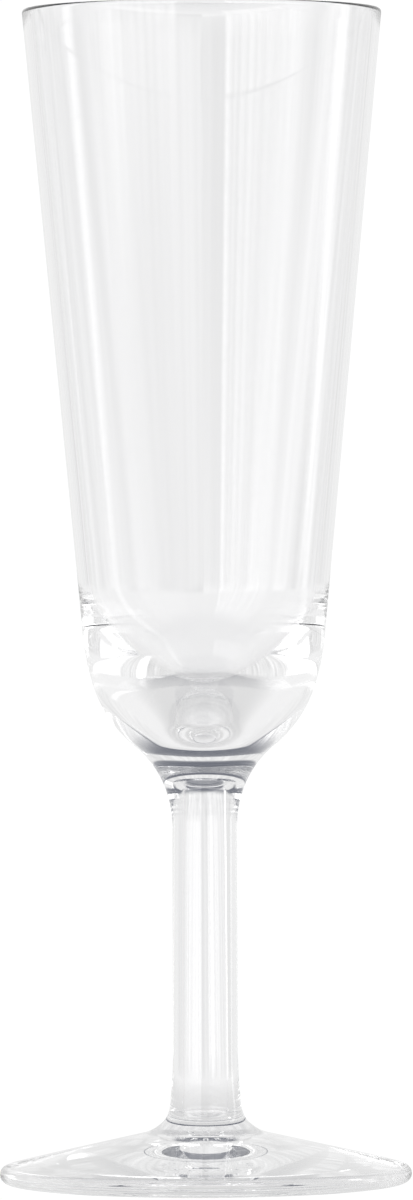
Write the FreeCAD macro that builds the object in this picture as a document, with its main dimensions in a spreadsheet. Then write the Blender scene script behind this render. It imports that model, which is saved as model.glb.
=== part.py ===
import FreeCAD, Part
import math
import os

import Sketcher

# A champagne flute of clear moulded plastic, in two pieces.
#
# bowl_and_stem is one moulding: a tall conical bowl, a solid neck under it, and a hollow stem whose
# bore is open at the bottom.  foot is the second moulding: a shallow cone with a hub whose spigot
# plugs the bore, and whose top ring is welded to the end of the stem.
#
# Millimetres, +Z up.  The origin is on the axis, in the plane that the foot stands on.

SIZES = [
    # alias, value, meaning
    ("overall_height", 195.0, "base plane to the top of the lip"),
    ("rim_radius", 29.92, "outside of the bowl at the lip"),
    ("wall_at_rim", 1.5, "thickness of the bowl at the lip"),
    ("lip_round", 0.7, "rounding of the lip, inside and out"),
    ("cone_angle", 5.39, "lean of the outside of the bowl, in degrees"),
    ("inner_cone_angle", 5.62, "lean of the inside of the bowl, in degrees"),
    ("shoulder_upper_radius", 42.0, "outside arc where the cone begins to close"),
    ("shoulder_split_height", 83.0, "where the two outside arcs meet"),
    ("shoulder_lower_radius", 21.0, "outside arc that closes the bowl"),
    ("neck_radius", 17.0, "hollow arc from the bowl into the stem"),
    ("neck_start_height", 59.5, "where the neck leaves the stem"),
    ("stem_radius", 5.41, "straight length of the stem"),
    ("root_radius", 78.0, "long arc that widens the stem"),
    ("flare_radius", 4.25, "tight arc at the end of the stem"),
    ("seam_height", 9.85, "plane where stem and foot meet"),
    ("seam_radius", 7.37, "outside radius at that plane"),
    ("bowl_floor_height", 76.2, "lowest point of the inside of the bowl"),
    ("bowl_floor_radius", 9.0, "arc of the floor of the bowl"),
    ("bowl_funnel_slope", 45.0, "rise of the straight slope beside that floor, in degrees"),
    ("bowl_side_radius", 26.0, "arc from that slope up to the inside cone"),
    ("bore_top_height", 68.2, "closed end of the stem's bore"),
    ("bore_top_radius", 3.45, "bore at its closed end"),
    ("bore_mouth_radius", 3.9, "bore at its mouth"),
    ("bore_corner_radius", 0.7, "rounding at the closed end"),
    ("spigot_top_height", 11.1, "top of the foot's spigot"),
    ("spigot_clearance", 0.05, "gap round the spigot"),
    ("spigot_lead", 0.4, "lead-in at the top of the spigot"),
    ("seam_fall", 42.0, "fall of the surface where it leaves that plane, in degrees"),
    ("hub_radius", 7.4, "hollow arc from the hub into the foot"),
    ("foot_slope", 13.0, "fall of the foot's top, in degrees"),
    ("foot_slope_end", 26.5, "radius where that fall steepens"),
    ("foot_radius", 34.25, "outside of the foot"),
    ("foot_edge_radius", 1.45, "round edge of the foot"),
    ("ring_inner_radius", 28.0, "inside of the flat ring that the foot stands on"),
    ("ring_step", 0.25, "step up inside that ring"),
    ("hollow_height", 1.15, "height of the underside beside the recess"),
    ("recess_radius", 6.7, "round recess under the hub"),
    ("recess_height", 2.1, "ceiling of that recess"),
    ("boss_radius", 2.4, "gate boss in the middle of the recess"),
    ("boss_tip_radius", 1.9, "the same at its tip"),
    ("boss_tip_height", 1.35, "height of the tip over the base plane"),
    ("mark_ring_radius", 4.55, "middle of the ring of raised marks"),
    ("mark_length", 1.5, "one mark, along the radius"),
    ("mark_width", 0.55, "one mark, across"),
    ("mark_depth", 0.4, "how far a mark stands out of the ceiling"),
    ("mark_count", 16, "marks round the ring"),
]

doc = FreeCAD.newDocument("champagne_flute")
value = {alias: number for alias, number, _ in SIZES}


def add_sheet():
    """The driving dimensions, one row each: meaning, value with its alias."""
    sheet = doc.addObject("Spreadsheet::Sheet", "sizes")
    for row, (alias, number, meaning) in enumerate(SIZES, start=1):
        sheet.set(f"A{row}", meaning)
        sheet.set(f"B{row}", str(number))
        sheet.setAlias(f"B{row}", alias)
    doc.recompute()
    return sheet


def add_body(name):
    body = doc.addObject("PartDesign::Body", name)
    body.Label = name
    body.Placement = FreeCAD.Placement()
    return body


def add_sketch(body, name, role):
    """A sketch on one of the body's own origin planes."""
    sketch = body.newObject("Sketcher::SketchObject", name)
    plane = [item for item in body.Origin.OriginFeatures if item.Role == role][0]
    sketch.AttachmentSupport = [(plane, "")]
    sketch.MapMode = "FlatFace"
    return sketch


class Outline:
    """A closed outline in a sketch: straight runs and arcs, joined end to end.

    Each run is kept as its geometry number with the numbers of its first and last point.  The points
    given are only near the right ones: the constraints place them.
    """

    START, END, CENTRE = 1, 2, 3

    def __init__(self, sketch):
        self.sketch = sketch
        self.runs = []

    def line(self, first, last):
        edge = Part.LineSegment(FreeCAD.Vector(*first, 0), FreeCAD.Vector(*last, 0))
        number = self.sketch.addGeometry(edge, False)
        self.runs.append((number, self.START, self.END))
        return number

    def arc(self, first, last, radius, turn):
        """An arc that turns left (turn = 1) or right (turn = -1) on its way from first to last."""
        dx = last[0] - first[0]
        dy = last[1] - first[1]
        chord = math.hypot(dx, dy)
        reach = turn * math.sqrt(max(radius ** 2 - chord ** 2 / 4, 0)) / chord
        centre = ((first[0] + last[0]) / 2 - dy * reach, (first[1] + last[1]) / 2 + dx * reach)
        a = math.atan2(first[1] - centre[1], first[0] - centre[0])
        b = math.atan2(last[1] - centre[1], last[0] - centre[0])
        circle = Part.Circle(FreeCAD.Vector(*centre, 0), FreeCAD.Vector(0, 0, 1), radius)
        if turn > 0:
            number = self.sketch.addGeometry(Part.ArcOfCircle(circle, a, b), False)
            self.runs.append((number, self.START, self.END))
        else:
            number = self.sketch.addGeometry(Part.ArcOfCircle(circle, b, a), False)
            self.runs.append((number, self.END, self.START))
        return number

    def first(self, number):
        return [(run[0], run[1]) for run in self.runs if run[0] == number][0]

    def last(self, number):
        return [(run[0], run[2]) for run in self.runs if run[0] == number][0]

    def close(self, smooth=()):
        """Join the runs in order, tangent where the pair is named in smooth."""
        for here, there in zip(self.runs, self.runs[1:] + self.runs[:1]):
            kind = "Tangent" if (here[0], there[0]) in smooth else "Coincident"
            self.sketch.addConstraint(Sketcher.Constraint(kind, here[0], here[2], there[0], there[1]))

    def level(self, number):
        self.sketch.addConstraint(Sketcher.Constraint("Horizontal", number))

    def upright(self, number):
        self.sketch.addConstraint(Sketcher.Constraint("Vertical", number))

    def on_axis(self, point):
        self.sketch.addConstraint(Sketcher.Constraint("PointOnObject", *point, -2))

    def bind(self, kind, parts, expression, name):
        """A dimension bound to an expression on the sheet's cells."""
        present = self.measure(kind, parts)
        index = self.sketch.addConstraint(Sketcher.Constraint(kind, *parts, present))
        self.sketch.renameConstraint(index, name)
        self.sketch.setExpression(f"Constraints.{name}", expression)

    def measure(self, kind, parts):
        """The present size of a dimension, which is its value until the sheet sets it."""
        geometry = self.sketch.Geometry[parts[0]]
        if kind == "Radius":
            return geometry.Radius
        if kind == "Angle":
            way = geometry.EndPoint - geometry.StartPoint
            return math.atan2(way.y, way.x)
        point = self.sketch.getPoint(parts[0], parts[1])
        return point.x if kind == "DistanceX" else point.y

    def radius(self, number, cell):
        self.bind("Radius", (number,), f"sizes.{cell}", f"{cell}_{number}")

    def across(self, point, expression, name):
        self.bind("DistanceX", point, expression, name)

    def up(self, point, expression, name):
        self.bind("DistanceY", point, expression, name)

    def corner(self, point, across, up):
        """Place a corner by two expressions, both named after the point."""
        tag = f"{point[0]}_{point[1]}"
        self.across(point, across, f"across_{tag}")
        self.up(point, up, f"up_{tag}")


def revolve(body, kind, name, sketch):
    """Turn a sketch full circle about the upright axis: a Revolution adds, a Groove cuts."""
    feature = body.newObject(f"PartDesign::{kind}", name)
    feature.Profile = sketch
    feature.ReferenceAxis = (sketch, ["V_Axis"])
    feature.Angle = 360
    doc.recompute()
    return feature


def circles_at(feature, height, radii):
    """Names of the circular edges of a feature that lie at a height and have one of the radii."""
    names = []
    for number, edge in enumerate(feature.Shape.Edges, start=1):
        curve = None if edge.Degenerated else edge.Curve
        if not isinstance(curve, Part.Circle) or abs(curve.Center.z - height) > 1e-4:
            continue
        if any(abs(curve.Radius - radius) < 1e-3 for radius in radii):
            names.append(f"Edge{number}")
    return names


def outside_of_bowl(body):
    """Half of the outside of bowl and stem, as a solid: seam, stem, neck, shoulder, cone, lip."""
    sketch = add_sketch(body, "outside_sketch", "XZ_Plane")
    shape = Outline(sketch)
    seam = value["seam_height"]
    split = value["shoulder_split_height"]
    top = value["overall_height"]
    rim = value["rim_radius"]
    seam_edge = (value["seam_radius"], seam)
    root_foot = (seam_edge[0] - 1.5, seam + 2.9)
    root_top = (value["stem_radius"], seam + 12)
    neck_foot = (value["stem_radius"], value["neck_start_height"])
    neck_top = (neck_foot[0] + 5.6, neck_foot[1] + 11.9)
    split_point = (neck_top[0] + 7.3, split)
    cone_foot = (split_point[0] + 1.7, split + 9.0)
    base = shape.line((0, seam), seam_edge)
    flare = shape.arc(seam_edge, root_foot, value["flare_radius"], -1)
    root = shape.arc(root_foot, root_top, value["root_radius"], -1)
    stem = shape.line(root_top, neck_foot)
    neck = shape.arc(neck_foot, neck_top, value["neck_radius"], -1)
    lower = shape.arc(neck_top, split_point, value["shoulder_lower_radius"], 1)
    upper = shape.arc(split_point, cone_foot, value["shoulder_upper_radius"], 1)
    cone = shape.line(cone_foot, (rim, top))
    lip = shape.line((rim, top), (0, top))
    axis = shape.line((0, top), (0, seam))
    chain = [flare, root, stem, neck, lower, upper, cone]
    shape.close(smooth=set(zip(chain, chain[1:])))
    shape.level(base)
    shape.level(lip)
    shape.on_axis(shape.first(base))
    shape.on_axis(shape.first(axis))
    shape.corner(shape.last(base), "sizes.seam_radius", "sizes.seam_height")
    shape.corner(shape.last(cone), "sizes.rim_radius", "sizes.overall_height")
    shape.bind("Angle", (cone,), "90 - sizes.cone_angle", "cone_lean")
    shape.radius(flare, "flare_radius")
    flare_middle = "sizes.seam_radius + sizes.flare_radius * sin(sizes.seam_fall)"
    shape.across((flare, Outline.CENTRE), flare_middle, "flare_middle")
    shape.radius(root, "root_radius")
    shape.radius(neck, "neck_radius")
    shape.radius(lower, "shoulder_lower_radius")
    shape.radius(upper, "shoulder_upper_radius")
    shape.upright(stem)
    shape.corner(shape.last(stem), "sizes.stem_radius", "sizes.neck_start_height")
    shape.up(shape.last(lower), "sizes.shoulder_split_height", "shoulder_split")
    return revolve(body, "Revolution", "outside", sketch)


def inside_of_bowl(body):
    """The hollow of the bowl: a floor arc centred on the axis, a slope, an arc, the inside cone."""
    sketch = add_sketch(body, "inside_sketch", "XZ_Plane")
    shape = Outline(sketch)
    floor = value["bowl_floor_height"]
    top = value["overall_height"]
    brim = (value["rim_radius"] - value["wall_at_rim"], top)
    lean = math.tan(math.radians(value["inner_cone_angle"]))
    radius = value["bowl_floor_radius"]
    bend = (radius * 0.7, floor + radius * 0.3)
    slope_top = (bend[0] + 5, bend[1] + 5)
    side_top = (brim[0] - (top - floor - 24) * lean, floor + 24)
    bottom = shape.arc((0, floor), bend, radius, 1)
    slope = shape.line(bend, slope_top)
    side = shape.arc(slope_top, side_top, value["bowl_side_radius"], 1)
    cone = shape.line(side_top, brim)
    mouth = shape.line(brim, (0, top))
    axis = shape.line((0, top), (0, floor))
    shape.close(smooth={(bottom, slope), (slope, side), (side, cone)})
    shape.level(mouth)
    shape.on_axis(shape.first(bottom))
    shape.on_axis(shape.first(axis))
    shape.on_axis((bottom, Outline.CENTRE))
    shape.corner(shape.last(cone), "sizes.rim_radius - sizes.wall_at_rim", "sizes.overall_height")
    shape.bind("Angle", (cone,), "90 - sizes.inner_cone_angle", "inner_cone_lean")
    shape.bind("Angle", (slope,), "sizes.bowl_funnel_slope", "funnel_slope")
    shape.radius(bottom, "bowl_floor_radius")
    shape.radius(side, "bowl_side_radius")
    shape.up(shape.first(bottom), "sizes.bowl_floor_height", "bowl_floor")
    return revolve(body, "Groove", "inside", sketch)


def bore_of_stem(body):
    """The bore: a slight taper, closed at the top with a rounded corner, open at the seam."""
    sketch = add_sketch(body, "bore_sketch", "XZ_Plane")
    shape = Outline(sketch)
    seam = value["seam_height"]
    top = value["bore_top_height"]
    mouth = (value["bore_mouth_radius"], seam)
    corner = value["bore_corner_radius"]
    shoulder = (value["bore_top_radius"], top - corner)
    opening = shape.line((0, seam), mouth)
    wall = shape.line(mouth, shoulder)
    bend = shape.arc(shoulder, (shoulder[0] - corner, top), corner, 1)
    ceiling = shape.line((shoulder[0] - corner, top), (0, top))
    shape.line((0, top), (0, seam))
    shape.close(smooth={(wall, bend), (bend, ceiling)})
    shape.level(opening)
    shape.level(ceiling)
    shape.on_axis(shape.first(opening))
    shape.on_axis(shape.last(ceiling))
    shape.corner(shape.last(opening), "sizes.bore_mouth_radius", "sizes.seam_height")
    shape.up(shape.last(ceiling), "sizes.bore_top_height", "bore_top")
    shape.across(shape.last(wall), "sizes.bore_top_radius", "bore_top_radius")
    shape.radius(bend, "bore_corner_radius")
    return revolve(body, "Groove", "bore", sketch)


def stub(body, name, low, high, wide, narrow):
    """A short round stub on the axis: cells or sums of cells for its two heights and two radii."""
    sketch = add_sketch(body, f"{name}_sketch", "XZ_Plane")
    shape = Outline(sketch)
    base = shape.line((0, 0), (2, 0))
    shape.line((2, 0), (1, 1))
    end = shape.line((1, 1), (0, 1))
    shape.line((0, 1), (0, 0))
    shape.close()
    shape.level(base)
    shape.level(end)
    shape.on_axis(shape.first(base))
    shape.on_axis(shape.last(end))
    shape.corner(shape.last(base), wide, low)
    shape.corner(shape.first(end), narrow, high)
    return revolve(body, "Revolution", name, sketch)


def make_bowl_and_stem():
    """Bowl, solid neck and hollow stem in one moulding."""
    body = add_body("bowl_and_stem")
    outside_of_bowl(body)
    inside_of_bowl(body)
    bore = bore_of_stem(body)
    lip = body.newObject("PartDesign::Fillet", "lip")
    rim = value["rim_radius"]
    lip.Base = (bore, circles_at(bore, value["overall_height"], (rim, rim - value["wall_at_rim"])))
    lip.setExpression("Radius", "sizes.lip_round")
    doc.recompute()
    return body


def outside_of_foot(body):
    """Half of the foot: spigot, weld ring, hub, slope, round edge, flat ring, hollow underside."""
    sketch = add_sketch(body, "foot_sketch", "XZ_Plane")
    shape = Outline(sketch)
    seam = value["seam_height"]
    spigot = value["bore_mouth_radius"] - value["spigot_clearance"]
    spigot_top = value["spigot_top_height"]
    lead = value["spigot_lead"]
    fall = math.tan(math.radians(value["foot_slope"]))
    hub_end = (value["seam_radius"] + 2.7, seam - 1.4)
    slope_end = (value["foot_slope_end"], hub_end[1] - (value["foot_slope_end"] - hub_end[0]) * fall)
    edge_start = value["foot_radius"] - value["foot_edge_radius"]
    edge_top = (edge_start + 0.5, 2 * value["foot_edge_radius"])
    edge_side = (value["foot_radius"], value["foot_edge_radius"])
    edge_foot = (edge_start, 0)
    step = (value["ring_inner_radius"], value["ring_step"])
    top = shape.line((0, spigot_top), (spigot - lead, spigot_top))
    chamfer = shape.line((spigot - lead, spigot_top), (spigot, spigot_top - lead))
    wall = shape.line((spigot, spigot_top - lead), (spigot, seam))
    weld = shape.line((spigot, seam), (value["seam_radius"], seam))
    hub = shape.arc((value["seam_radius"], seam), hub_end, value["hub_radius"], 1)
    slope = shape.line(hub_end, slope_end)
    bend = shape.arc(slope_end, edge_top, value["foot_radius"], -1)
    edge = shape.arc(edge_top, edge_foot, value["foot_edge_radius"], -1)
    ring = shape.line(edge_foot, (step[0], 0))
    riser = shape.line((step[0], 0), step)
    under = shape.line(step, (value["recess_radius"], value["hollow_height"]))
    recess = shape.line((value["recess_radius"], value["hollow_height"]),
                        (value["recess_radius"], value["recess_height"]))
    ceiling = shape.line((value["recess_radius"], value["recess_height"]), (0, value["recess_height"]))
    shape.line((0, value["recess_height"]), (0, spigot_top))
    shape.close(smooth={(hub, slope), (slope, bend), (bend, edge), (edge, ring)})
    for run in (top, weld, ring, ceiling):
        shape.level(run)
    for run in (wall, riser, recess):
        shape.upright(run)
    shape.on_axis(shape.first(top))
    shape.on_axis(shape.last(ceiling))
    spigot_radius = "sizes.bore_mouth_radius - sizes.spigot_clearance"
    shape.corner(shape.last(top), f"{spigot_radius} - sizes.spigot_lead", "sizes.spigot_top_height")
    shape.corner(shape.last(chamfer), spigot_radius, "sizes.spigot_top_height - sizes.spigot_lead")
    shape.corner(shape.last(weld), "sizes.seam_radius", "sizes.seam_height")
    shape.radius(hub, "hub_radius")
    hub_middle = "sizes.seam_radius + sizes.hub_radius * sin(sizes.seam_fall)"
    shape.across((hub, Outline.CENTRE), hub_middle, "hub_middle")
    shape.bind("Angle", (slope,), "-sizes.foot_slope", "foot_slope")
    shape.across(shape.last(slope), "sizes.foot_slope_end", "slope_end")
    shape.radius(edge, "foot_edge_radius")
    shape.across((edge, Outline.CENTRE), "sizes.foot_radius - sizes.foot_edge_radius", "edge_middle")
    shape.up(shape.last(edge), "0", "base_plane")
    shape.corner(shape.last(riser), "sizes.ring_inner_radius", "sizes.ring_step")
    shape.corner(shape.last(under), "sizes.recess_radius", "sizes.hollow_height")
    shape.up(shape.last(recess), "sizes.recess_height", "recess_ceiling")
    return revolve(body, "Revolution", "foot_shape", sketch)


def raised_marks(body):
    """A ring of short plain bars on the ceiling of the recess: one bar, repeated round the axis."""
    sketch = add_sketch(body, "mark_sketch", "XY_Plane")
    sketch.setExpression("AttachmentOffset.Base.z", "sizes.recess_height")
    middle = value["mark_ring_radius"]
    shape = Outline(sketch)
    near = shape.line((middle - 1, -1), (middle + 1, -1))
    outer = shape.line((middle + 1, -1), (middle + 1, 1))
    far = shape.line((middle + 1, 1), (middle - 1, 1))
    inner = shape.line((middle - 1, 1), (middle - 1, -1))
    shape.close()
    shape.level(near)
    shape.level(far)
    shape.upright(outer)
    shape.upright(inner)
    shape.corner(shape.first(near), "sizes.mark_ring_radius - sizes.mark_length / 2", "-sizes.mark_width / 2")
    shape.corner(shape.first(far), "sizes.mark_ring_radius + sizes.mark_length / 2", "sizes.mark_width / 2")
    bar = body.newObject("PartDesign::Pad", "mark")
    bar.Profile = sketch
    bar.Reversed = True
    bar.setExpression("Length", "sizes.mark_depth")
    doc.recompute()
    ring = body.newObject("PartDesign::PolarPattern", "mark_ring")
    ring.Originals = [bar]
    ring.Axis = (sketch, ["N_Axis"])
    ring.Angle = 360
    ring.Occurrences = int(value["mark_count"])
    body.Tip = ring
    doc.recompute()
    return ring


def make_foot():
    """Foot with its spigot; a gate boss and a ring of plain marks stand in the recess below."""
    body = add_body("foot")
    outside_of_foot(body)
    stub(
        body, "gate_boss",
        "sizes.recess_height", "sizes.boss_tip_height", "sizes.boss_radius", "sizes.boss_tip_radius",
    )
    raised_marks(body)
    return body


def check(bodies):
    """Stop if any object has failed, or if a piece isn't one valid solid."""
    for item in doc.Objects:
        if "Invalid" in item.State or "Error" in item.State:
            raise RuntimeError(f"{item.Label} failed: {item.State}")
        if item.TypeId == "Sketcher::SketchObject" and not item.FullyConstrained:
            raise RuntimeError(f"{item.Label} is not fully constrained")
    for body in bodies:
        shape = body.Shape
        if shape.isNull() or not shape.isValid() or len(shape.Solids) != 1:
            raise RuntimeError(f"{body.Label} is not one valid solid")
        box = shape.optimalBoundingBox()
        print(body.Label, round(shape.Volume), "mm3", "across", round(box.XLength, 2), "high", round(box.ZLength, 2))


add_sheet()
pieces = [make_bowl_and_stem(), make_foot()]
check(pieces)
os.makedirs("parts", exist_ok=True)
for piece in pieces:
    piece.Shape.exportStep(f"parts/{piece.Label}.step")
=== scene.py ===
"""Champagne flute of clear moulded plastic: the finished surfaces, their material, and the studio.

Run as a script it makes everything once.  The operators in the sidebar make one piece each again.
All lengths are in metres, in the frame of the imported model: +Z up, origin under the foot.
"""

import math

import bpy
import numpy as np
from bpy.props import FloatProperty, FloatVectorProperty, IntProperty, PointerProperty
from mathutils import Matrix, Vector


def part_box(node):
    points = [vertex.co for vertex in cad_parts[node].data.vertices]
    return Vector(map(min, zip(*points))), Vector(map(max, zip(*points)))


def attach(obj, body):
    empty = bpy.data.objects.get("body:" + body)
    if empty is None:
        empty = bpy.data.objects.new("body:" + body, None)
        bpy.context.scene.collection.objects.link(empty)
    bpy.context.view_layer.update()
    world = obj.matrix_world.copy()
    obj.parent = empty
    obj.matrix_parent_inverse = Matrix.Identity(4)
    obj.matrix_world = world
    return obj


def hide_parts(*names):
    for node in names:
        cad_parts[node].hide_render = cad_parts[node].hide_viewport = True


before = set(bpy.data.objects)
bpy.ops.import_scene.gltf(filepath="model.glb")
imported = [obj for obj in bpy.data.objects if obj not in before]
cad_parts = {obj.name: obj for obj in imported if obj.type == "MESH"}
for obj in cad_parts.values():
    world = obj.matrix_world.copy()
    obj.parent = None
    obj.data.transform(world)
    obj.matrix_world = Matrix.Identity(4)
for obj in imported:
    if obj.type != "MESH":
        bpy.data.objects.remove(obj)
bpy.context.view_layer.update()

bl_info = {
    "name": "Champagne Flute",
    "version": (1, 0, 0),
    "blender": (4, 5, 0),
    "location": "3D View > Sidebar > Flute",
    "description": "Makes a clear moulded champagne flute and the studio it stands in",
    "category": "Object",
}

MM = 0.001

UPPER_LOW, UPPER_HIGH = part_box("bowl_and_stem")
FOOT_LOW, FOOT_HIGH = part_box("foot")
LIP_HEIGHT = UPPER_HIGH[2]
SEAM_HEIGHT = UPPER_LOW[2]
SPIGOT_HEIGHT = FOOT_HIGH[2]
FOOT_RADIUS = (FOOT_HIGH[0] - FOOT_LOW[0]) / 2


def length(name, description, default):
    """A size that a user may change."""
    return FloatProperty(
        name=name, description=description, default=default, min=0.0, precision=5,
        subtype="DISTANCE", unit="LENGTH",
    )


def angle(name, description, degrees):
    """An angle that a user may change, given in degrees and kept in radians."""
    return FloatProperty(
        name=name, description=description, default=math.radians(degrees),
        subtype="ANGLE", unit="ROTATION",
    )


def factor(name, description, default, high=10.0):
    """A plain number that a user may change."""
    return FloatProperty(name=name, description=description, default=default, min=0.0, max=high)


def colour(name, description, default):
    """A colour that a user may change."""
    return FloatVectorProperty(
        name=name, description=description, default=default, size=3, min=0.0, max=4.0,
        subtype="COLOR",
    )


# ---------------------------------------------------------------------------------------------
# Sizes and colours
# ---------------------------------------------------------------------------------------------


class BowlSizes(bpy.types.PropertyGroup):
    """The bowl, its neck and the hollow stem."""

    rim_radius: length("Rim radius", "Outside of the bowl, carried up to the lip", 29.92 * MM)
    wall: length("Wall", "Thickness of the bowl at the lip", 1.5 * MM)
    lip_round: length("Lip rounding", "Rounding of the lip, inside and out", 0.7 * MM)
    lean: angle("Lean", "Lean of the outside of the bowl", 5.39)
    inner_lean: angle("Inner lean", "Lean of the inside of the bowl", 5.62)
    shoulder_upper: length("Upper shoulder", "Outside arc that begins to close the cone", 42.0 * MM)
    shoulder_split: length("Shoulder height", "Height where the two outside arcs meet", 83.0 * MM)
    shoulder_lower: length("Lower shoulder arc", "Outside arc that closes the bowl", 21.0 * MM)
    neck: length("Neck arc", "Hollow arc from the bowl into the stem", 17.0 * MM)
    neck_start: length("Neck height", "Height where the neck leaves the stem", 59.5 * MM)
    stem_radius: length("Stem radius", "Outside of the straight stem", 5.41 * MM)
    root: length("Root arc", "Long arc that widens the end of the stem", 78.0 * MM)
    flare: length("Flare arc", "Tight arc at the end of the stem", 4.25 * MM)
    floor_height: length("Floor height", "Lowest point of the inside of the bowl", 76.2 * MM)
    floor_arc: length("Floor arc", "Arc of the floor of the bowl", 9.0 * MM)
    funnel: angle("Funnel slope", "Rise of the straight slope beside the floor of the bowl", 45.0)
    side_arc: length("Side arc", "Arc from that slope up to the inside cone", 26.0 * MM)
    bore_top: length("Bore height", "Closed end of the bore", 68.2 * MM)
    bore_top_radius: length("Bore top radius", "Bore at its closed end", 3.45 * MM)
    bore_mouth: length("Bore mouth radius", "Bore at its mouth", 3.9 * MM)
    bore_corner: length("Bore corner", "Rounding at the closed end", 0.7 * MM)


class FootSizes(bpy.types.PropertyGroup):
    """The foot and its spigot."""

    seam_radius: length("Seam radius", "Outside where stem and foot meet", 7.37 * MM)
    seam_fall: angle("Seam fall", "Fall of the surface at the seam", 42.0)
    spigot_gap: length("Spigot gap", "Gap between spigot and bore", 0.05 * MM)
    spigot_lead: length("Spigot lead", "Lead-in at the top of the spigot", 0.4 * MM)
    hub: length("Hub arc", "Hollow arc from the hub into the foot", 7.4 * MM)
    slope: angle("Slope", "Fall of the top of the foot", 13.0)
    slope_end: length("Slope end", "Radius where that fall steepens", 26.5 * MM)
    edge: length("Edge round", "Round edge of the foot", 1.45 * MM)
    ring_inner: length("Ring radius", "Inside of the flat ring that the foot stands on", 28.0 * MM)
    ring_step: length("Ring step", "Step up inside that ring", 0.25 * MM)
    hollow: length("Hollow height", "Underside beside the recess", 1.15 * MM)
    recess_radius: length("Recess radius", "Round recess under the hub", 6.7 * MM)
    recess_height: length("Recess height", "Ceiling of that recess", 2.1 * MM)
    boss_radius: length("Boss radius", "Gate boss in the middle of the recess", 2.4 * MM)
    boss_tip: length("Boss tip radius", "The same at its tip", 1.9 * MM)
    boss_height: length("Boss tip height", "Height of that tip over the base plane", 1.35 * MM)
    mark_ring: length("Mark ring radius", "Middle of the ring of raised marks", 4.55 * MM)
    mark_length: length("Mark length", "One mark, along the radius", 1.5 * MM)
    mark_width: length("Mark width", "One mark, across", 0.55 * MM)
    mark_depth: length("Mark depth", "How far a mark stands out", 0.4 * MM)
    mark_count: IntProperty(name="Marks", description="Marks round the ring", default=16, min=1)


class PlasticFinish(bpy.types.PropertyGroup):
    """The clear plastic and the small faults of its moulded surface."""

    tint: colour("Tint", "Colour that the plastic gives to light in it", (0.988, 0.988, 0.991))
    index: factor("Refractive index", "How strongly the plastic bends light", 1.58, 3.0)
    roughness: factor("Roughness", "Roughness of the polished surface", 0.0, 1.0)
    streak_size: length("Streak spacing", "Spacing of the upright polishing streaks", 1.1 * MM)
    streak_depth: length("Streak depth", "Depth of those streaks", 0.0008 * MM)


class StudioLook(bpy.types.PropertyGroup):
    """Floor, surroundings and camera."""

    floor_radius: length("Floor radius", "Radius of the round floor", 14.0)
    floor_colour: colour("Floor colour", "Floor as the flute shows it", (0.91, 0.91, 0.91))
    floor_shade: colour("Floor shade", "Floor right under the flute", (0.72, 0.72, 0.72))
    shade_radius: length("Shade radius", "Radius of that shaded patch of the floor", 0.13)
    background: factor("Background", "Brightness of the plain background", 1.03)
    folds: factor("Curtain folds", "How much the folds of the curtain change its brightness", 1.0)
    dark: colour("Overhead colour", "Colour of the dim room overhead", (0.115, 0.125, 0.16))
    side_top: angle("Side wall top", "Where the side walls begin to fade, over the horizon", 40.0)
    back_top: angle("Backdrop top", "Where the backdrop begins to fade, over the horizon", 27.0)
    fade: angle("Fade", "How much higher walls and backdrop are gone", 12.0)
    camera_distance: length("Camera distance", "Camera to the axis of the flute", 1.445)
    camera_height: length("Camera height", "Camera over the base plane", 0.1138)
    aim_height: length("Aim height", "Height that the camera looks at", 0.0968)
    aim_side: length("Aim offset", "How far the camera looks to the right of the axis", 0.00045)
    roll: angle("Camera roll", "Lean of the camera", 0.22)
    lens: FloatProperty(
        name="Lens", description="Focal length", default=260.9, min=1.0, subtype="DISTANCE_CAMERA",
    )


# ---------------------------------------------------------------------------------------------
# Profiles
# ---------------------------------------------------------------------------------------------


# How often halve() halves, and the limits that it starts from.
HALVINGS = 60
SPLIT_LIMITS = (math.radians(6.0), math.radians(40.0))
BEND_LIMITS = (5 * MM, 400 * MM)

# Rows of faces on the weld face of either piece.
WELD_ROWS = 6

# Largest steps along an arc, in radians: long arcs take fine ones and small roundings coarse ones.
LONG_ARC_STEP = 0.01
UPPER_SHOULDER_STEP = 0.015
LOWER_SHOULDER_STEP = 0.02
ARC_STEP = 0.03
FLOOR_STEP = 0.05
EDGE_STEP = 0.1
CORNER_STEP = 0.12
LIP_STEP = 0.16


def run(start, end, steps):
    """Points on a straight run without its last: start + (end - start) * t for t in [0, 1)."""
    t = np.linspace(0.0, 1.0, steps, endpoint=False)[:, None]
    return np.asarray(start) * (1.0 - t) + np.asarray(end) * t


def arc(centre, radius, start, end, step=ARC_STEP):
    """Points on a circle without the last: centre + radius * (cos a, sin a), a from start to end.

    The angles are even, and no two are further apart than step, in radians.
    """
    steps = max(3, int(math.ceil(abs(end - start) / step)))
    a = np.linspace(start, end, steps, endpoint=False)
    return np.stack([centre[0] + radius * np.cos(a), centre[1] + radius * np.sin(a)], axis=1)


def heading(centre, point):
    """The angle at which a point is seen from a centre."""
    return math.atan2(point[1] - centre[1], point[0] - centre[0])


def between(here, there, distance):
    """The point at a distance from here, on the way to there."""
    whole = math.hypot(there[0] - here[0], there[1] - here[1])
    return (
        here[0] + (there[0] - here[0]) * distance / whole,
        here[1] + (there[1] - here[1]) * distance / whole,
    )


def halve(error, low, high):
    """The place between low and high where a function crosses nought."""
    rising = error(high) > error(low)
    for _ in range(HALVINGS):
        middle = (low + high) / 2
        if (error(middle) > 0) == rising:
            high = middle
        else:
            low = middle
    return (low + high) / 2


class LeaningWall:
    """A straight wall that leans outwards: it passes through (radius, height) at the lip."""

    def __init__(self, radius, height, lean):
        self.radius = radius
        self.height = height
        self.slope = math.tan(lean)
        self.outward = (math.cos(lean), -math.sin(lean))

    def at(self, z):
        """The radius of the wall at height z."""
        return self.radius - (self.height - z) * self.slope

    def centre(self, z, distance):
        """The centre, inside, of a circle of that radius that touches the wall at height z."""
        return (self.at(z) - distance * self.outward[0], z - distance * self.outward[1])


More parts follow.
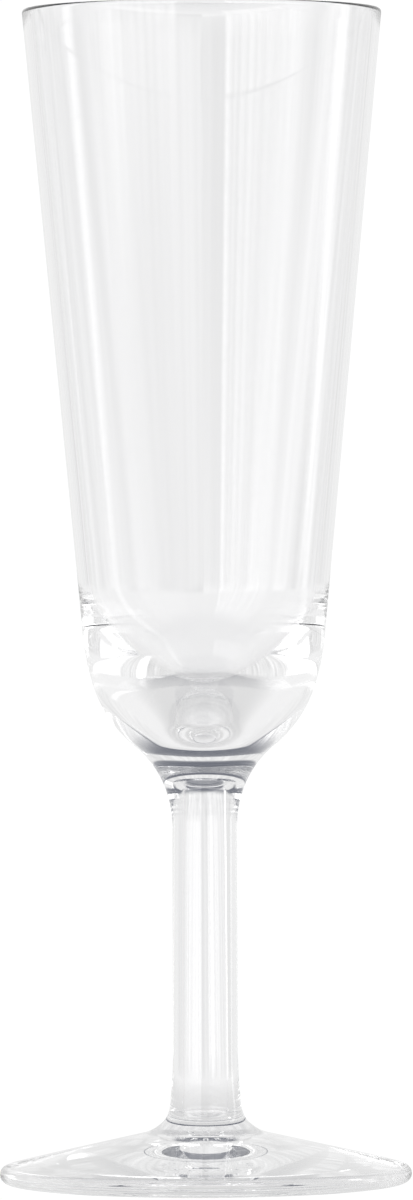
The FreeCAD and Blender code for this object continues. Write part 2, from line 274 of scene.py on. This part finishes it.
def shoulder(b, wall, neck_centre):
    """The two arcs that close the bowl, each touching its neighbours.

    The angle of the surface where they meet is found by halving: the right one puts the lower arc
    at exactly its own radius plus the neck's from the centre of the neck.
    """

    def centres(turn):
        foot = b.shoulder_split + b.shoulder_upper * (math.sin(turn) + wall.outward[1])
        upper = wall.centre(foot, b.shoulder_upper)
        point = (upper[0] + b.shoulder_upper * math.cos(turn), b.shoulder_split)
        lower = between(point, upper, b.shoulder_lower)
        return upper, lower, point, foot

    def error(turn):
        lower = centres(turn)[1]
        apart = math.hypot(lower[0] - neck_centre[0], lower[1] - neck_centre[1])
        return apart - b.neck - b.shoulder_lower

    return centres(halve(error, *SPLIT_LIMITS))


def bowl_and_stem_profile(b, f):
    """Half of the section of bowl and stem, from the top of the bore round to the bowl's floor.

    Bore ceiling, bore, weld face, flare, root, stem, neck, shoulder, cone, lip, inside cone, side,
    funnel and floor: straight runs joined by arcs that touch them.  Returns the points, each with
    radius and height, and the number of the point where the weld face begins.
    """
    lip = LIP_HEIGHT
    seam = SEAM_HEIGHT
    parts = []
    bore_shoulder = (b.bore_top_radius, b.bore_top - b.bore_corner)
    lean = heading(bore_shoulder, (b.bore_mouth, seam))
    corner = (b.bore_top_radius - b.bore_corner, bore_shoulder[1])
    parts.append(run((0.0, b.bore_top), (corner[0], b.bore_top), 8))
    parts.append(arc(corner, b.bore_corner, math.pi / 2, lean + math.pi / 2, CORNER_STEP))
    parts.append(run(bore_shoulder, (b.bore_mouth, seam), 20))
    weld_start = sum(len(part) for part in parts)
    parts.append(run((b.bore_mouth, seam), (f.seam_radius, seam), WELD_ROWS))

    flare_centre = (
        f.seam_radius + b.flare * math.sin(f.seam_fall),
        seam + b.flare * math.cos(f.seam_fall),
    )
    root_x = b.stem_radius + b.root
    rise = math.sqrt((b.root - b.flare) ** 2 - (root_x - flare_centre[0]) ** 2)
    root_centre = (root_x, flare_centre[1] + rise)
    join = between(root_centre, flare_centre, b.root)
    at_seam = heading(flare_centre, (f.seam_radius, seam)) + 2 * math.pi
    at_join = heading(flare_centre, join) % (2 * math.pi)
    parts.append(arc(flare_centre, b.flare, at_seam, at_join))
    at_root = heading(root_centre, join) % (2 * math.pi)
    parts.append(arc(root_centre, b.root, at_root, math.pi, LONG_ARC_STEP))
    parts.append(run((b.stem_radius, root_centre[1]), (b.stem_radius, b.neck_start), 24))

    wall = LeaningWall(b.rim_radius, lip, b.lean)
    neck_centre = (b.stem_radius + b.neck, b.neck_start)
    upper, lower, split, foot = shoulder(b, wall, neck_centre)
    bend = between(neck_centre, lower, b.neck)
    parts.append(arc(neck_centre, b.neck, math.pi, heading(neck_centre, bend)))
    at_bend, at_split = heading(lower, bend), heading(lower, split)
    parts.append(arc(lower, b.shoulder_lower, at_bend, at_split, LOWER_SHOULDER_STEP))
    cone_foot = (wall.at(foot), foot)
    at_split, at_cone = heading(upper, split), heading(upper, cone_foot)
    parts.append(arc(upper, b.shoulder_upper, at_split, at_cone, UPPER_SHOULDER_STEP))

    lip_z = lip - b.lip_round
    out_x = wall.at(lip_z) - b.lip_round / wall.outward[0]
    lip_foot = (out_x + b.lip_round * wall.outward[0], lip_z + b.lip_round * wall.outward[1])
    parts.append(run(cone_foot, lip_foot, 30))
    parts.append(arc((out_x, lip_z), b.lip_round, -b.lean, math.pi / 2, LIP_STEP))

    inner = LeaningWall(b.rim_radius - b.wall, lip, b.inner_lean)
    in_x = inner.at(lip_z) + b.lip_round / inner.outward[0]
    in_foot = (in_x - b.lip_round * inner.outward[0], lip_z - b.lip_round * inner.outward[1])
    parts.append(run((out_x, lip), (in_x, lip), 1))
    at_inside = math.pi - b.inner_lean
    parts.append(arc((in_x, lip_z), b.lip_round, math.pi / 2, at_inside, LIP_STEP))

    floor_centre = (0.0, b.floor_height + b.floor_arc)
    rise, level = math.sin(b.funnel), math.cos(b.funnel)
    funnel_foot = (b.floor_arc * rise, floor_centre[1] - b.floor_arc * level)
    start = (funnel_foot[0] - b.side_arc * rise, funnel_foot[1] + b.side_arc * level)
    room = inner.at(start[1]) - start[0] - b.side_arc / inner.outward[0]
    way = room / (level - inner.slope * rise)
    side_centre = (start[0] + way * level, start[1] + way * rise)
    side_top = side_centre[1] + b.side_arc * inner.outward[1]
    funnel_top = (funnel_foot[0] + way * level, funnel_foot[1] + way * rise)
    parts.append(run(in_foot, (inner.at(side_top), side_top), 30))
    parts.append(arc(side_centre, b.side_arc, -b.inner_lean, heading(side_centre, funnel_top)))
    parts.append(run(funnel_top, funnel_foot, 12))
    at_funnel = heading(floor_centre, funnel_foot)
    parts.append(arc(floor_centre, b.floor_arc, at_funnel, -math.pi / 2, FLOOR_STEP))
    parts.append(np.array([[0.0, b.floor_height]]))
    return np.concatenate(parts), weld_start


def foot_profile(b, f):
    """Half of the section of the foot, once round from the underside to the spigot.

    Recess ceiling with its boss, recess wall, hollow underside, flat ring, round edge, slope, hub,
    weld face and spigot.  Returns the points, and the number of the one that begins the weld face.
    """
    seam = SEAM_HEIGHT
    spigot = b.bore_mouth - f.spigot_gap
    top = SPIGOT_HEIGHT
    fall = math.tan(f.slope)
    parts = []
    parts.append(run((0.0, f.boss_height), (f.boss_tip, f.boss_height), 4))
    parts.append(run((f.boss_tip, f.boss_height), (f.boss_radius, f.recess_height), 3))
    parts.append(run((f.boss_radius, f.recess_height), (f.recess_radius, f.recess_height), 44))
    parts.append(run((f.recess_radius, f.recess_height), (f.recess_radius, f.hollow), 3))
    parts.append(run((f.recess_radius, f.hollow), (f.ring_inner, f.ring_step), 40))
    parts.append(run((f.ring_inner, f.ring_step), (f.ring_inner, 0.0), 2))
    edge_centre = (FOOT_RADIUS - f.edge, f.edge)
    parts.append(run((f.ring_inner, 0.0), (edge_centre[0], 0.0), 8))

    hub_centre = (
        f.seam_radius + f.hub * math.sin(f.seam_fall),
        seam + f.hub * math.cos(f.seam_fall),
    )
    hub_end = (hub_centre[0] - f.hub * math.sin(f.slope), hub_centre[1] - f.hub * math.cos(f.slope))
    slope_end = (f.slope_end, hub_end[1] - (f.slope_end - hub_end[0]) * fall)
    down = (-math.sin(f.slope), -math.cos(f.slope))

    def miss(radius):
        centre = (slope_end[0] + down[0] * radius, slope_end[1] + down[1] * radius)
        apart = math.hypot(centre[0] - edge_centre[0], centre[1] - edge_centre[1])
        return apart - (radius - f.edge)

    bend = halve(miss, *BEND_LIMITS)
    bend_centre = (slope_end[0] + down[0] * bend, slope_end[1] + down[1] * bend)
    edge_top = between(bend_centre, edge_centre, bend)
    at_top = heading(edge_centre, edge_top)
    parts.append(arc(edge_centre, f.edge, -math.pi / 2, at_top, EDGE_STEP))
    at_edge, at_slope = heading(bend_centre, edge_top), heading(bend_centre, slope_end)
    parts.append(arc(bend_centre, bend, at_edge, at_slope, LONG_ARC_STEP))
    parts.append(run(slope_end, hub_end, 60))
    at_end = heading(hub_centre, hub_end) % (2 * math.pi)
    at_seam = heading(hub_centre, (f.seam_radius, seam)) % (2 * math.pi)
    parts.append(arc(hub_centre, f.hub, at_end, at_seam))
    weld_start = sum(len(part) for part in parts)
    parts.append(run((f.seam_radius, seam), (b.bore_mouth, seam), WELD_ROWS))
    parts.append(run((b.bore_mouth, seam), (spigot, seam), 1))
    parts.append(run((spigot, seam), (spigot, top - f.spigot_lead), 6))
    parts.append(run((spigot, top - f.spigot_lead), (spigot - f.spigot_lead, top), 3))
    parts.append(run((spigot - f.spigot_lead, top), (0.0, top), 6))
    parts.append(np.array([[0.0, top]]))
    return np.concatenate(parts), weld_start


# ---------------------------------------------------------------------------------------------
# Meshes
# ---------------------------------------------------------------------------------------------

# Faces round the axis, and the angle between faces from which an edge is shown sharp.
TURNS = 288
SHARP = math.radians(28.0)

# Width of the sloping side of a raised mark, and how far off its height a level face may be.
MARK_SOFTNESS = 0.12 * MM
LEVEL = 0.01 * MM


def turned(name, profile, weld_start, shape=None):
    """A closed surface of revolution.

    Point (i, j) is (r_i cos a_j, r_i sin a_j, z_i), with a_j even round the axis; shape, if given,
    changes the whole arrays of radius, angle and height before that.  The two ends of the profile
    are on the axis and close in one point each.  The weld rows get the second material.
    """
    inner = profile[1:-1]
    a = np.linspace(0.0, 2 * math.pi, TURNS, endpoint=False)
    radius = np.repeat(inner[:, :1], TURNS, axis=1)
    height = np.repeat(inner[:, 1:], TURNS, axis=1)
    turn = np.repeat(a[None, :], len(inner), axis=0)
    if shape:
        radius, turn, height = shape(radius, turn, height)
    grid = np.stack([radius * np.cos(turn), radius * np.sin(turn), height], axis=2).reshape(-1, 3)
    first_pole = len(grid)
    last_pole = first_pole + 1
    poles = np.array([[0.0, 0.0, profile[0, 1]], [0.0, 0.0, profile[-1, 1]]])
    points = np.concatenate([grid, poles])

    rows = np.arange(len(inner) - 1)[:, None] * TURNS
    here = np.arange(TURNS)[None, :]
    there = (here + 1) % TURNS
    low = rows + here
    quads = np.stack([low, rows + there, rows + TURNS + there, low + TURNS], axis=2)
    quads = quads.reshape(-1, 4)
    ring = np.arange(TURNS)
    after = (ring + 1) % TURNS
    top_row = (len(inner) - 1) * TURNS
    first_fan = np.stack([np.full(TURNS, first_pole), after, ring], axis=1)
    last_fan = np.stack([np.full(TURNS, last_pole), top_row + ring, top_row + after], axis=1)

    mesh = bpy.data.meshes.new(name)
    mesh.from_pydata(points.tolist(), [], quads.tolist() + first_fan.tolist() + last_fan.tolist())
    mesh.polygons.foreach_set("use_smooth", np.ones(len(mesh.polygons), dtype=bool))
    row_of = np.concatenate([np.repeat(np.arange(1, len(inner)), TURNS), np.zeros(2 * TURNS, int)])
    welded = (row_of >= weld_start) & (row_of < weld_start + WELD_ROWS)
    mesh.polygons.foreach_set("material_index", welded.astype(np.int32))
    mesh.update()
    mesh.set_sharp_from_angle(angle=SHARP)
    mesh.validate()
    piece = bpy.data.objects.new(name, mesh)
    bpy.context.scene.collection.objects.link(piece)
    return piece


def replace_piece(name):
    """Remove an earlier piece of that name, so that an operator can be run again."""
    old = bpy.data.objects.get(name)
    if old:
        bpy.data.objects.remove(old, do_unlink=True)


# ---------------------------------------------------------------------------------------------
# Shader maths
# ---------------------------------------------------------------------------------------------


# Places of the Mix node's colour sockets, which share their names with those for other data.
MIX_SHARE = 0
MIX_FIRST = 6
MIX_SECOND = 7
MIX_RESULT = 2

OBJECT_COORDINATES = 3
STREAK_STRETCH = 60.0


class Graph:
    """The nodes of one material or world."""

    def __init__(self, tree):
        self.tree = tree
        tree.nodes.clear()

    def add(self, kind, settings=None, inputs=None, output=0):
        """One node of a type, with its settings set first and then its sockets' values or links.

        The setting "stops" gives a ramp its pairs of position and value, from 0 to 1.
        """
        node = self.tree.nodes.new(kind)
        for key, setting in (settings or {}).items():
            if key == "stops":
                self.set_stops(node.color_ramp.elements, setting)
            else:
                setattr(node, key, setting)
        for key, given in (inputs or {}).items():
            if isinstance(given, Wire):
                self.tree.links.new(given.socket, node.inputs[key])
            else:
                node.inputs[key].default_value = given
        return Wire(self, node.outputs[output]) if node.outputs else None

    def set_stops(self, elements, stops):
        """Grey levels of a ramp: its two ends first, then a new element for each stop between."""
        elements[0].color = (*[stops[0][1]] * 3, 1.0)
        elements[1].color = (*[stops[-1][1]] * 3, 1.0)
        for place, value in stops[1:-1]:
            elements.new(place).color = (value, value, value, 1.0)

    def split(self, vector):
        """The three numbers of a vector."""
        parts = self.add("ShaderNodeSeparateXYZ", inputs={"Vector": vector}).socket.node.outputs
        return [Wire(self, part) for part in parts]

    def finish(self, kind, surface):
        """The output node, with the surface or the background linked to it."""
        self.add(kind, inputs={"Surface": surface})


class Wire:
    """A socket on which arithmetic adds Math nodes."""

    def __init__(self, graph, socket):
        self.graph = graph
        self.socket = socket

    def math(self, operation, *others):
        """The result of a Math node on this socket and the others."""
        inputs = dict(enumerate((self,) + others))
        return self.graph.add("ShaderNodeMath", {"operation": operation}, inputs)

    def __add__(self, other):
        return self.math("ADD", other)

    __radd__ = __add__

    def __mul__(self, other):
        return self.math("MULTIPLY", other)

    __rmul__ = __mul__

    def __sub__(self, other):
        return self.math("SUBTRACT", other)

    def __rsub__(self, other):
        return (self * -1.0) + other

    def __truediv__(self, other):
        return self.math("DIVIDE", other)

    def __pow__(self, other):
        return self.math("POWER", other)

    def ease(self, low, high):
        """Nought below low, one above high, and a smooth rise between them."""
        settings = {"interpolation_type": "SMOOTHSTEP"}
        inputs = {"Value": self, "From Min": low, "From Max": high, "To Min": 0.0, "To Max": 1.0}
        return self.graph.add("ShaderNodeMapRange", settings, inputs)


def mix(graph, share, first, second):
    """A colour on the way from first to second."""
    ends = [given if isinstance(given, Wire) else (*given, 1.0) for given in (first, second)]
    inputs = {MIX_SHARE: share, MIX_FIRST: ends[0], MIX_SECOND: ends[1]}
    return graph.add("ShaderNodeMix", {"data_type": "RGBA"}, inputs, MIX_RESULT)


def clear_plastic(name, look):
    """Polished clear plastic: it bends light strongly, and its skin has faint upright streaks."""
    material = bpy.data.materials.new(name)
    material.use_nodes = True
    graph = Graph(material.node_tree)
    place = graph.add("ShaderNodeTexCoord", output=OBJECT_COORDINATES)
    across = 1.0 / look.streak_size
    scale = (across, across, across / STREAK_STRETCH)
    squeeze = graph.add("ShaderNodeMapping", inputs={"Vector": place, "Scale": scale})
    noise = {"Vector": squeeze, "Scale": 1.0, "Detail": 3.0}
    streaks = graph.add("ShaderNodeTexNoise", inputs=noise)
    bump = graph.add(
        "ShaderNodeBump",
        inputs={"Strength": 1.0, "Distance": look.streak_depth, "Height": streaks},
    )
    inputs = {
        "Base Color": (*look.tint, 1.0),
        "Roughness": look.roughness,
        "IOR": look.index,
        "Transmission Weight": 1.0,
        "Normal": bump,
    }
    graph.finish("ShaderNodeOutputMaterial", graph.add("ShaderNodeBsdfPrincipled", inputs=inputs))
    return material


def welded_joint():
    """The face where the two mouldings have run together: nothing is seen there."""
    material = bpy.data.materials.get("welded_joint") or bpy.data.materials.new("welded_joint")
    material.use_nodes = True
    graph = Graph(material.node_tree)
    graph.finish("ShaderNodeOutputMaterial", graph.add("ShaderNodeBsdfTransparent"))
    return material


# ---------------------------------------------------------------------------------------------
# Operators
# ---------------------------------------------------------------------------------------------


class FLUTE_OT_bowl_and_stem(bpy.types.Operator):
    """Make the bowl with its neck and hollow stem"""

    bl_idname = "flute.bowl_and_stem"
    bl_label = "Bowl and Stem"

    def execute(self, context):
        name = "clear_bowl_and_stem"
        replace_piece(name)
        scene = context.scene
        profile, weld_start = bowl_and_stem_profile(scene.flute_bowl, scene.flute_foot)
        piece = turned(name, profile, weld_start)
        piece.data.materials.append(clear_plastic("clear_plastic_bowl", scene.flute_finish))
        piece.data.materials.append(welded_joint())
        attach(piece, "root")
        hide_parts("bowl_and_stem")
        return {"FINISHED"}


class FLUTE_OT_foot(bpy.types.Operator):
    """Make the foot with its spigot and the raised marks underneath"""

    bl_idname = "flute.foot"
    bl_label = "Foot"

    def execute(self, context):
        name = "clear_foot"
        replace_piece(name)
        scene = context.scene
        f = scene.flute_foot
        profile, weld_start = foot_profile(scene.flute_bowl, f)

        def marks(radius, turn, height):
            """Lower the recess ceiling in each bar: depth times a soft mask of r and angle."""
            pitch = 2 * math.pi / f.mark_count
            off = (turn + pitch / 2) % pitch - pitch / 2
            side = np.abs(off * radius)
            along = np.abs(radius - f.mark_ring)
            mask = np.clip((f.mark_width / 2 - side) / MARK_SOFTNESS + 0.5, 0, 1)
            mask = mask * np.clip((f.mark_length / 2 - along) / MARK_SOFTNESS + 0.5, 0, 1)
            ceiling = np.abs(height - f.recess_height) < LEVEL
            return radius, turn, height - f.mark_depth * mask * ceiling

        piece = turned(name, profile, weld_start, marks)
        piece.data.materials.append(clear_plastic("clear_plastic_foot", scene.flute_finish))
        piece.data.materials.append(welded_joint())
        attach(piece, "root")
        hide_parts("foot")
        return {"FINISHED"}


# Depths of the floor and its shaded patch below the base plane, the share of the patch's radius
# where it begins to fade, and the sides of either sheet.
FLOOR_DEPTH = 0.02 * MM
SHADE_DEPTH = 0.01 * MM
SHADE_CORE = 0.35
DISC_SIDES = 96


def disc(name, radius, depth, shade):
    """A round sheet of the stage that glows by itself: a fan of one ring about its middle.

    shade is called with the material's graph and returns the colour of the glow.
    """
    replace_piece(name)
    a = np.linspace(0.0, 2 * math.pi, DISC_SIDES, endpoint=False)
    rim = np.stack([radius * np.cos(a), radius * np.sin(a), a * 0.0], axis=1)
    points = np.concatenate([rim, [[0.0, 0.0, 0.0]]])
    ring = np.arange(DISC_SIDES)
    middle = np.full(DISC_SIDES, DISC_SIDES)
    faces = np.stack([ring, (ring + 1) % DISC_SIDES, middle], axis=1)
    mesh = bpy.data.meshes.new(name)
    mesh.from_pydata(points.tolist(), [], faces.tolist())
    mesh.transform(Matrix.Translation((0.0, 0.0, -depth)))
    mesh.update()
    sheet = bpy.data.objects.new(name, mesh)
    bpy.context.scene.collection.objects.link(sheet)
    material = bpy.data.materials.new(name)
    material.use_nodes = True
    graph = Graph(material.node_tree)
    glow = graph.add("ShaderNodeEmission", inputs={"Color": shade(graph)})
    graph.finish("ShaderNodeOutputMaterial", glow)
    mesh.materials.append(material)
    return sheet


def studio_floor(look):
    """A round pale floor for the camera, and over it the shaded patch that the flute shows."""
    plain = (*(look.background,) * 3, 1.0)
    floor = disc("studio_floor", look.floor_radius, FLOOR_DEPTH, lambda graph: plain)
    floor.visible_glossy = False
    floor.visible_transmission = False

    def shade(graph):
        x, y, _ = graph.split(graph.add("ShaderNodeTexCoord", output=OBJECT_COORDINATES))
        middle = look.shade_radius * SHADE_CORE
        out = ((x * x + y * y) ** 0.5).ease(middle, look.shade_radius)
        return mix(graph, out, look.floor_shade, look.floor_colour)

    patch = disc("studio_shade", look.shade_radius, SHADE_DEPTH, shade)
    patch.visible_camera = False


# Brightness of the room by compass direction, in degrees: 0 is behind the camera, 90 to its left,
# and 180, either way round, behind the flute.  The curtain hangs between two of these directions.
ROOM = (
    (-180.0, 0.88), (-158.0, 0.88), (-140.0, 0.80), (-113.0, 0.80), (-109.0, 2.3), (-104.0, 2.3),
    (-100.0, 0.88), (-80.0, 0.88), (-68.0, 1.25), (-23.0, 1.2), (-18.0, 0.84), (16.5, 0.74),
    (17.3, 2.8), (19.3, 2.8), (20.0, 1.95), (68.0, 1.8), (80.0, 0.88), (100.0, 0.88),
    (140.0, 0.80), (158.0, 0.88), (180.0, 0.88),
)
CURTAIN = (20.0, 85.0)

# Shares of a whole turn in which the curtain begins and ends.
CURTAIN_SOFTNESS = (0.004, 0.05)

# Folds: how close they are round about and upwards, and how strong on the curtain and elsewhere.
FOLDS_ROUND = 60.0
FOLDS_UP = 0.6
FOLDS_CURTAIN = 3.2
FOLDS_ROOM = 0.8

# Sines of the height over the horizon between which the ground gives way to the walls.
GROUND = (-0.16, -0.09)

# Sines of the depth below the horizon between which everything gives way to the plain floor.
FLOOR_ONLY = (0.24, 0.50)

# Sines of the turn from the side walls between which the backdrop takes over.
BACKDROP = (0.15, 0.75)


def share_of_turn(degrees):
    """A compass direction as a share of the whole turn, from 0 at -180 degrees to 1 at 180."""
    return (degrees + 180.0) / 360.0


def studio_world(look):
    """A pale backdrop, two duller walls, a lamp and a curtained window, under a dim ceiling.

    The camera itself sees plain white; only light that the flute bends or mirrors meets the rest.
    """
    world = bpy.data.worlds.new("studio")
    bpy.context.scene.world = world
    world.use_nodes = True
    graph = Graph(world.node_tree)
    x, y, up = graph.split(graph.add("ShaderNodeTexCoord"))
    round_about = (x * -1.0).math("ARCTAN2", y * -1.0) / (2 * math.pi) + 0.5
    stops = [(share_of_turn(degrees), level) for degrees, level in ROOM]
    bright = graph.add("ShaderNodeValToRGB", {"stops": stops}, {"Fac": round_about})
    start, end = (share_of_turn(degrees) for degrees in CURTAIN)
    window = round_about.ease(start, start + CURTAIN_SOFTNESS[0])
    window = window * (1.0 - round_about.ease(end - CURTAIN_SOFTNESS[1], end))
    folded = {"X": round_about * FOLDS_ROUND, "Y": up * FOLDS_UP}
    folded = graph.add("ShaderNodeCombineXYZ", inputs=folded)
    folds = graph.add("ShaderNodeTexNoise", inputs={"Vector": folded, "Scale": 2.0, "Detail": 6.0})
    bright = bright + (window * FOLDS_CURTAIN + FOLDS_ROOM) * (folds - 0.5) * look.folds
    ground = sum(look.floor_colour) / 3
    bright = (bright - ground) * up.ease(*GROUND) + ground

    backdrop = (y / (x * x + y * y + 1e-6) ** 0.5).ease(*BACKDROP)
    top = backdrop * (math.sin(look.back_top) - math.sin(look.side_top)) + math.sin(look.side_top)
    fade = (up - top).ease(0.0, math.sin(look.fade))
    glow = graph.add("ShaderNodeCombineXYZ", inputs={"X": bright, "Y": bright, "Z": bright})
    around = mix(graph, fade, glow, look.dark)
    around = mix(graph, (up * -1.0).ease(*FLOOR_ONLY), around, look.floor_colour)
    seen = graph.add("ShaderNodeLightPath")
    shown = mix(graph, seen, around, (look.background,) * 3)
    light = graph.add("ShaderNodeBackground", inputs={"Color": shown})
    graph.finish("ShaderNodeOutputWorld", light)


def studio_camera(look):
    """A long lens, a little over the middle of the flute, with the whole flute in the frame."""
    replace_piece("camera")
    data = bpy.data.cameras.new("camera")
    camera = bpy.data.objects.new("camera", data)
    bpy.context.scene.collection.objects.link(camera)
    place = Vector((0.0, -look.camera_distance, look.camera_height))
    aim = Vector((look.aim_side, 0.0, look.aim_height))
    turn = (aim - place).to_track_quat("-Z", "Y").to_matrix().to_4x4()
    camera.matrix_world = Matrix.Translation(place) @ turn @ Matrix.Rotation(-look.roll, 4, "Z")
    data.sensor_width = 36.0
    data.lens = look.lens
    data.clip_start = 0.01
    data.clip_end = 60.0
    bpy.context.scene.camera = camera


BOUNCES = 64


class FLUTE_OT_stage(bpy.types.Operator):
    """Make the floor, the lit surroundings and the camera"""

    bl_idname = "flute.stage"
    bl_label = "Stage"

    def execute(self, context):
        look = context.scene.flute_studio
        studio_floor(look)
        studio_world(look)
        studio_camera(look)
        context.scene.view_settings.view_transform = "Standard"
        cycles = context.scene.cycles
        cycles.max_bounces = BOUNCES
        cycles.transmission_bounces = BOUNCES
        cycles.glossy_bounces = BOUNCES
        cycles.transparent_max_bounces = BOUNCES
        return {"FINISHED"}


class FLUTE_PT_panel(bpy.types.Panel):
    """The flute's sizes, finish and studio, with a button for each piece"""

    bl_label = "Champagne Flute"
    bl_space_type = "VIEW_3D"
    bl_region_type = "UI"
    bl_category = "Flute"

    def draw(self, context):
        layout = self.layout
        scene = context.scene
        for operator, group in (
            (FLUTE_OT_bowl_and_stem, scene.flute_bowl),
            (FLUTE_OT_foot, scene.flute_foot),
            (FLUTE_OT_stage, scene.flute_studio),
        ):
            layout.operator(operator.bl_idname)
            column = layout.column(align=True)
            for name in group.__annotations__:
                column.prop(group, name)
        column = layout.column(align=True)
        for name in scene.flute_finish.__annotations__:
            column.prop(scene.flute_finish, name)


GROUPS = {
    "flute_bowl": BowlSizes,
    "flute_foot": FootSizes,
    "flute_finish": PlasticFinish,
    "flute_studio": StudioLook,
}
CLASSES = (*GROUPS.values(), FLUTE_OT_bowl_and_stem, FLUTE_OT_foot, FLUTE_OT_stage, FLUTE_PT_panel)


def register():
    for item in CLASSES:
        bpy.utils.register_class(item)
    for name, group in GROUPS.items():
        setattr(bpy.types.Scene, name, PointerProperty(type=group))


def unregister():
    for name in GROUPS:
        delattr(bpy.types.Scene, name)
    for item in reversed(CLASSES):
        bpy.utils.unregister_class(item)


def main():
    register()
    bpy.ops.flute.bowl_and_stem()
    bpy.ops.flute.foot()
    bpy.ops.flute.stage()


if __name__ == "__main__":
    main()
